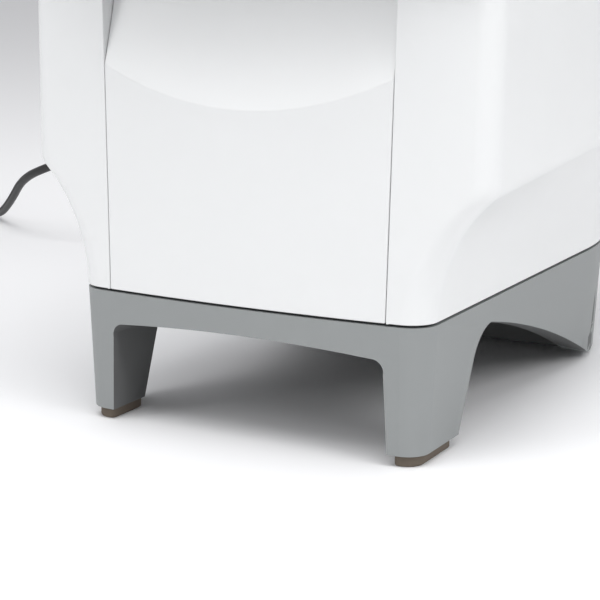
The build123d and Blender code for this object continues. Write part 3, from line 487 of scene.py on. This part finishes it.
# ------------------------------------------------------------------ screws, springs, relief
def islands(node):
    """Boxes of the separate solids in a node, as (low corner, high corner) pairs."""
    bm = bmesh.new()
    bm.from_mesh(nodes[node].data)
    bm.transform(nodes[node].matrix_world)
    bmesh.ops.remove_doubles(bm, verts=bm.verts, dist=2e-6)
    left = set(bm.verts)
    boxes = []
    while left:
        group, edge = set(), [left.pop()]
        while edge:
            vert = edge.pop()
            group.add(vert)
            near = {link.other_vert(vert) for link in vert.link_edges} & left
            left -= near
            edge += near
        corners = [[vert.co[axis] for vert in group] for axis in range(3)]
        boxes.append((Vector([min(axis) for axis in corners]), Vector([max(axis) for axis in corners])))
    bm.free()
    return boxes


RECESS_LENGTH, RECESS_WIDTH = 1.2, 0.28     # of the cross, as shares of the head's radius
HEAD_SIDES, SHANK_SIDES = 32, 20


def maths(tree, operation, first, second):
    """Output of a maths node on two sockets or numbers."""
    node = add(tree, "ShaderNodeMath", {"operation": operation})
    for socket, value in zip(node.inputs, (first, second)):
        if isinstance(value, float):
            socket.default_value = value
        else:
            tree.links.new(value, socket)
    return node.outputs[0]


def lifted(tree, geometry, rise):
    """Output of a node that moves a shape along Z."""
    offset = add(tree, "ShaderNodeCombineXYZ", {}, {"Z": rise})
    links = {"Geometry": geometry, "Translation": offset.outputs[0]}
    return add(tree, "GeometryNodeTransform", {}, links).outputs["Geometry"]


def screw_head(tree, given):
    """Round head under the origin, with a cross cut into its upper half."""
    radius, height = given["Head Radius"], given["Head Height"]
    links = {"Radius": radius, "Depth": height}
    head = add(tree, "GeometryNodeMeshCylinder", {"Vertices": HEAD_SIDES}, links)
    cut = add(tree, "GeometryNodeMeshBoolean", {"operation": "DIFFERENCE"}, {"Mesh 1": head.outputs["Mesh"]})
    bar = maths(tree, "MULTIPLY", radius, RECESS_LENGTH)
    slot = maths(tree, "MULTIPLY", radius, RECESS_WIDTH)
    for across, along in ((bar, slot), (slot, bar)):
        size = add(tree, "ShaderNodeCombineXYZ", {}, {"X": across, "Y": along, "Z": height})
        cube = add(tree, "GeometryNodeMeshCube", {}, {"Size": size.outputs[0]})
        raised = lifted(tree, cube.outputs["Mesh"], maths(tree, "MULTIPLY", height, 0.5))
        tree.links.new(raised, cut.inputs["Mesh 2"])
    return lifted(tree, cut.outputs["Mesh"], maths(tree, "MULTIPLY", height, -0.5))


def screw_shank(tree, given):
    """Plain shank that hangs under the head."""
    length = given["Shank Length"]
    links = {"Radius": given["Shank Radius"], "Depth": length}
    shank = add(tree, "GeometryNodeMeshCylinder", {"Vertices": SHANK_SIDES}, links)
    middle = maths(tree, "MULTIPLY", length, -0.5)
    seat = maths(tree, "MULTIPLY", given["Head Height"], -1.0)
    return lifted(tree, shank.outputs["Mesh"], maths(tree, "ADD", middle, seat))


def screw_tree():
    """Node group that puts a cross-recessed screw on every point of a mesh."""
    tree = bpy.data.node_groups.new("cross-recessed screws", "GeometryNodeTree")
    tree.interface.new_socket("Places", in_out="INPUT", socket_type="NodeSocketGeometry")
    for name in ("Head Radius", "Head Height", "Shank Radius", "Shank Length"):
        tree.interface.new_socket(name, in_out="INPUT", socket_type="NodeSocketFloat")
    tree.interface.new_socket("Turn", in_out="INPUT", socket_type="NodeSocketRotation")
    tree.interface.new_socket("Finish", in_out="INPUT", socket_type="NodeSocketMaterial")
    tree.interface.new_socket("Screws", in_out="OUTPUT", socket_type="NodeSocketGeometry")

    given = add(tree, "NodeGroupInput").outputs
    screw = add(tree, "GeometryNodeJoinGeometry")
    tree.links.new(screw_head(tree, given), screw.inputs[0])
    tree.links.new(screw_shank(tree, given), screw.inputs[0])
    links = {"Points": given["Places"], "Instance": screw.outputs[0], "Rotation": given["Turn"]}
    copies = add(tree, "GeometryNodeInstanceOnPoints", {}, links)
    real = add(tree, "GeometryNodeRealizeInstances", {}, {"Geometry": copies.outputs[0]})
    links = {"Geometry": real.outputs[0], "Material": given["Finish"]}
    painted = add(tree, "GeometryNodeSetMaterial", {}, links)
    add(tree, "NodeGroupOutput", {}, {"Screws": painted.outputs[0]})
    return tree


SCREWS = screw_tree()


def make_screws(node, facing, head_radius, head_height, shank_radius):
    """Real screws in place of a node's plain ones, their heads looking along one axis."""
    axis = "XYZ".index(facing[1])
    outward = 1 if facing[0] == "+" else -1
    turn = {"+Z": (0, 0, 0), "-Z": (math.pi, 0, 0), "+Y": (-math.pi / 2, 0, 0)}[facing]
    boxes = islands(node)
    points = []
    for low, high in boxes:
        top = (low + high) / 2
        top[axis] = high[axis] if outward > 0 else low[axis]
        points.append(top)
    length = boxes[0][1][axis] - boxes[0][0][axis] - head_height
    mesh = bpy.data.meshes.new(node + "_places")
    mesh.from_pydata(points, [], [])
    piece = place_mesh(node + "_set", mesh)
    modifier = piece.modifiers.new("screws", "NODES")
    modifier.node_group = SCREWS
    values = {
        "Head Radius": head_radius, "Head Height": head_height, "Shank Radius": shank_radius,
        "Shank Length": length, "Turn": turn, "Finish": PAINT["stainless"],
    }
    for socket in SCREWS.interface.items_tree:
        if socket.name in values:
            modifier[socket.identifier] = values[socket.name]
    piece = settle(piece, 35)
    fit(piece, body_of(node), PAINT["stainless"], node)


def lathe(name, rings, centre, steps=40):
    """Round piece along Y from (y, radius) rings about a centre line at (x, z)."""
    x, z = centre
    bm = bmesh.new()
    loops = []
    for y, radius in rings:
        angles = [2 * math.pi * step / steps for step in range(steps)]
        loops.append([bm.verts.new((x + radius * math.cos(a), y, z + radius * math.sin(a))) for a in angles])
    for near, far in zip(loops, loops[1:]):
        for step in range(steps):
            after = (step + 1) % steps
            bm.faces.new([near[step], far[step], far[after], near[after]])
    bm.faces.new(loops[0])
    bm.faces.new(loops[-1][::-1])
    bmesh.ops.recalc_face_normals(bm, faces=bm.faces)
    return from_bmesh(name, bm, 50)


RELIEF_RIBS = 8
RELIEF_THIN = 4.0 * MM                      # radius at the lead's end
RELIEF_GROOVE = 0.9 * MM
# Share of the way along one rib and its groove, and how far below the taper the surface lies.
RELIEF_RIB = ((0.0, 0.0), (0.55, 0.0), (0.62, RELIEF_GROOVE), (0.93, RELIEF_GROOVE))


def make_strain_relief():
    """Tapered relief with rings moulded round it, so that it bends evenly."""
    low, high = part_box("strain_relief")
    length = high.y - low.y
    thick = (high.x - low.x) / 2
    rings = []
    for step in range(RELIEF_RIBS):
        for share, groove in RELIEF_RIB:
            along = (step + share) / RELIEF_RIBS
            rings.append((low.y + length * along, thick + (RELIEF_THIN - thick) * along - groove))
    rings.append((high.y, RELIEF_THIN - 0.3 * MM))
    piece = lathe("ribbed_relief", rings, ((low.x + high.x) / 2, (low.z + high.z) / 2))
    return fit(piece, "base", PAINT["lead_black"], "strain_relief")


SPRING_TURNS, POINTS_PER_TURN = 15, 24
WIRE_R = 1.1 * MM
WIRE_INSET = 1.2 * MM                       # from the sleeve's outside to the wire's middle


def wind_wire(low, high):
    """One spring's wire, wound along X inside the box of its sleeve."""
    line = bpy.data.curves.new("spring_line", "CURVE")
    line.dimensions = "3D"
    line.bevel_depth = WIRE_R
    line.bevel_resolution = 4
    line.use_fill_caps = True
    spline = line.splines.new("POLY")
    steps = SPRING_TURNS * POINTS_PER_TURN
    radius = (high.z - low.z) / 2 - WIRE_INSET
    spline.points.add(steps)
    for index, point in enumerate(spline.points):
        angle = 2 * math.pi * index / POINTS_PER_TURN
        x = low.x + WIRE_INSET + (high.x - low.x - 2 * WIRE_INSET) * index / steps
        y = (low.y + high.y) / 2 + radius * math.cos(angle)
        z = (low.z + high.z) / 2 + radius * math.sin(angle)
        point.co = (x, y, z, 1)
    return settle(place_mesh("spring_wire", line), 60)


def make_hinge_springs():
    """Torsion springs wound round the hinge shaft."""
    wires = [wind_wire(low, high) for low, high in islands("hinge_springs")]
    bm = bmesh.new()
    for wire in wires:
        bm.from_mesh(wire.data)
        bpy.data.objects.remove(wire)
    piece = from_bmesh("torsion_springs", bm, 60)
    return fit(piece, "base", PAINT["spring_steel"], "hinge_springs")


# Node, the way its heads look, radius and height of the head, radius of the shank.
make_screws("rear_screws", "+Y", 3.0 * MM, 1.6 * MM, 1.5 * MM)
make_screws("hinge_screws", "+Z", 3.0 * MM, 1.8 * MM, 1.8 * MM)
make_screws("block_screws", "+Z", 2.6 * MM, 2.0 * MM, 1.5 * MM)
make_screws("liner_screws", "-Z", 3.2 * MM, 1.6 * MM, 1.6 * MM)
make_strain_relief()
make_hinge_springs()


# ------------------------------------------------------------------ mains lead
LEAD_D = 7 * MM
INLET_X, INLET_Z = -64, 198                 # from here on the routes are in millimetres, y from FRONT
LEAD_START = 410                            # where the lead leaves its relief
LEAD_FLOOR = 3.9                            # height of the lead's middle on the bench
LEAD_ROUTE = [
    (INLET_X, LEAD_START, INLET_Z),
    (INLET_X, 438, INLET_Z),
    (-78, 477, 189),
    (-109, 506, 175),
    (-149, 518, 158),
    (-189, 512, 142),
    (-227, 494, 127),
    (-262, 471, 114),
    (-297, 446, 102),
    (-332, 423, 91),
    (-372, 408, 78),
    (-413, 406, 64),
    (-449, 419, 50),
    (-482, 446, 25),
    (-517, 474, 5),
    (-553, 501, LEAD_FLOOR),
]
TAIL_ROUTE = [
    (-658, 466, 16),
    (-660, 440, 12),
    (-658, 414, 15.5),
    (-655, 392, 18.9),
    (-655, 372, 18.9),
]
COIL_CENTRE = (-615, 489)
COIL_START = 54.9                 # degrees round the coil where the lead comes in
COIL_TURN = 4 * 360 + 125.1       # and it leaves at the far left, heading to the front
TURN_POINTS = 20                  # control points for each turn
OUTER_R, INNER_R = 42.5, 35.5
LAYER_RISE = 7.1
MOVE_IN, MOVE_OUT = (305, 355), (965, 1005) # degrees over which the lead changes its ring
FIRST_CLIMB, LAST_CLIMB = (635, 675), (1295, 1335)      # and over which it climbs a layer


def ease(value, low, high):
    """Smooth step from 0 to 1 between two values."""
    share = min(max((value - low) / (high - low), 0.0), 1.0)
    return share * share * (3 - 2 * share)


def coil_point(turned):
    """Control point after so many degrees round the coil: two turns wide, two high, the last on top."""
    inward = ease(turned, *MOVE_IN) - ease(turned, *MOVE_OUT)
    radius = OUTER_R + (INNER_R - OUTER_R) * inward
    height = LEAD_FLOOR + LAYER_RISE * (ease(turned, *FIRST_CLIMB) + ease(turned, *LAST_CLIMB))
    pull = (6 + 2 * math.cos(math.radians(360 / TURN_POINTS))) / 8
    angle = math.radians(COIL_START + turned)
    x = COIL_CENTRE[0] + radius / pull * math.cos(angle)
    y = COIL_CENTRE[1] + radius / pull * math.sin(angle)
    return (x, y, height)


def make_lead():
    """The lead as one smooth line: out of its relief, down in loose bends, round the coil, to the plug."""
    step = 360 / TURN_POINTS
    coil = [coil_point(count * step) for count in range(1, int(COIL_TURN / step) + 1)]
    line = bpy.data.curves.new("mains_lead_line", "CURVE")
    line.dimensions = "3D"
    line.bevel_depth = LEAD_D / 2
    line.bevel_resolution = 6
    line.resolution_u = 8
    line.use_fill_caps = True
    spline = line.splines.new("NURBS")
    points = LEAD_ROUTE + coil + TAIL_ROUTE
    spline.points.add(len(points) - 1)
    for point, (x, y, z) in zip(spline.points, points):
        point.co = (x * MM, y * MM + FRONT, z * MM, 1)
    spline.order_u = 3
    spline.use_endpoint_u = True
    lead = place_mesh("mains_lead_cord", line)
    fit(lead, "base", PAINT["lead_black"], "mains_lead", "lead_coil", "lead_tail")
    return lead


lead = make_lead()


# ------------------------------------------------------------------ stage, light and camera
ROOM_COLOUR, ROOM_STRENGTH = (0.975, 0.98, 1.0, 1), 0.57
LIT_PLACE = Vector((0, 0, 0.12))            # every lamp looks here
LAMPS = [                                   # name, place, size in metres, power in watts
    ("key_light", (-1.2, -1.8, 1.6), 1.2, 11),
    ("side_light", (2.0, -0.5, 1.6), 1.2, 19),
    ("top_light", (0.3, -0.9, 2.4), 1.5, 33),
    ("edge_light", (-1.05, -2.05, 0.95), 0.3, 1.2),
]


def make_floor():
    """Plain pale bench top."""
    bm = bmesh.new()
    bmesh.ops.create_grid(bm, x_segments=1, y_segments=1, size=6)
    floor = from_bmesh("floor", bm)
    material, shader = new_material("pale floor")
    shader.inputs["Base Color"].default_value = srgb("#F4F4F5")
    shader.inputs["Roughness"].default_value = 0.7
    floor.data.materials.append(material)


def make_lights():
    """Even light from the room and four soft lamps."""
    world = bpy.data.worlds.new("soft room")
    world.use_nodes = True
    background = world.node_tree.nodes["Background"]
    background.inputs["Color"].default_value = ROOM_COLOUR
    background.inputs["Strength"].default_value = ROOM_STRENGTH
    bpy.context.scene.world = world
    for name, place, size, power in LAMPS:
        light = bpy.data.lights.new(name, "AREA")
        light.size = size
        light.energy = power
        lamp = bpy.data.objects.new(name, light)
        lamp.location = place
        aim = LIT_PLACE - Vector(place)
        lamp.rotation_euler = aim.to_track_quat("-Z", "Y").to_euler()
        bpy.context.scene.collection.objects.link(lamp)


CAMERA_PLACE = (412.5 * MM, FRONT - 717.3 * MM, 258.3 * MM)
CAMERA_YAW = 0.4849                         # radians, turned to the left of straight ahead
CAMERA_DROP = 0.2168                        # radians below level
CAMERA_ROLL = 0.0102
CAMERA_LENS, CAMERA_SENSOR = 102.0, 36      # millimetres


def make_camera():
    """Camera a little above the deck, to the right of the front."""
    ahead = Vector((
        -math.sin(CAMERA_YAW) * math.cos(CAMERA_DROP),
        math.cos(CAMERA_YAW) * math.cos(CAMERA_DROP),
        -math.sin(CAMERA_DROP),
    ))
    side = Vector((math.cos(CAMERA_YAW), math.sin(CAMERA_YAW), 0))
    upward = side.cross(ahead)
    turned_side = side * math.cos(CAMERA_ROLL) + upward * math.sin(CAMERA_ROLL)
    turned_up = upward * math.cos(CAMERA_ROLL) - side * math.sin(CAMERA_ROLL)
    data = bpy.data.cameras.new("camera")
    data.lens = CAMERA_LENS
    data.sensor_width = CAMERA_SENSOR
    camera = bpy.data.objects.new("camera", data)
    turn = Matrix((turned_side, turned_up, -ahead)).transposed().to_4x4()
    camera.matrix_world = Matrix.Translation(CAMERA_PLACE) @ turn
    bpy.context.scene.collection.objects.link(camera)
    bpy.context.scene.camera = camera


def paint_the_rest():
    """Every node that still shows its own shape takes the finish of its slot."""
    for name, node in nodes.items():
        if not node.hide_render:
            node.data.materials.clear()
            node.data.materials.append(PAINT[SLOTS[name]])


paint_the_rest()
make_floor()
make_lights()
make_camera()
bpy.context.scene.view_settings.view_transform = "Standard"
